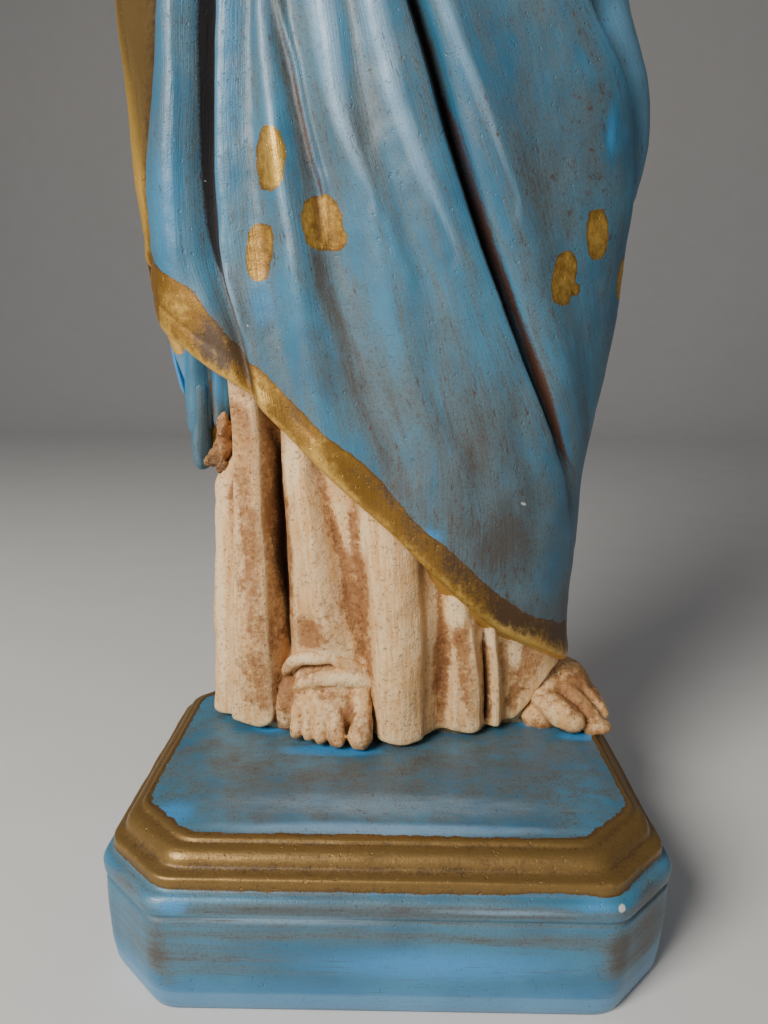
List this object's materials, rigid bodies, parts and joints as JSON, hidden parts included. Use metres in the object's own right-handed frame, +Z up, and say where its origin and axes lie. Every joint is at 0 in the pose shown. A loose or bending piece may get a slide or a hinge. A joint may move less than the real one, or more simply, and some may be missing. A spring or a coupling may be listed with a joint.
{
  "type": "christ statue",
  "caption": "Painted plaster standing statue of Christ in a long tunic and a draped mantle, cast in one piece with its octagonal moulded plinth.",
  "frame": {"origin": "middle of the plinth's flat underside", "axes": "+Z up through the figure to its crown, -Y the way the figure faces, +X towards the figure's left hand"},
  "size_m": [0.1272, 0.096, 0.3998],
  "materials": {
    "blue_paint": "sky blue oil paint on plaster, satin, dry-brushed grey-brown and worn on its ridges",
    "cream_paint": "matt cream paint on plaster with orange-brown stain in its hollows",
    "gold_paint": "antique gold bronze paint with brown shading",
    "skin_paint": "matt pale flesh paint on plaster",
    "hair_paint": "matt dark brown paint on plaster"
  },
  "bodies": {
    "root": {"christ_statue": "blue_paint"}
  },
  "joints": []
}
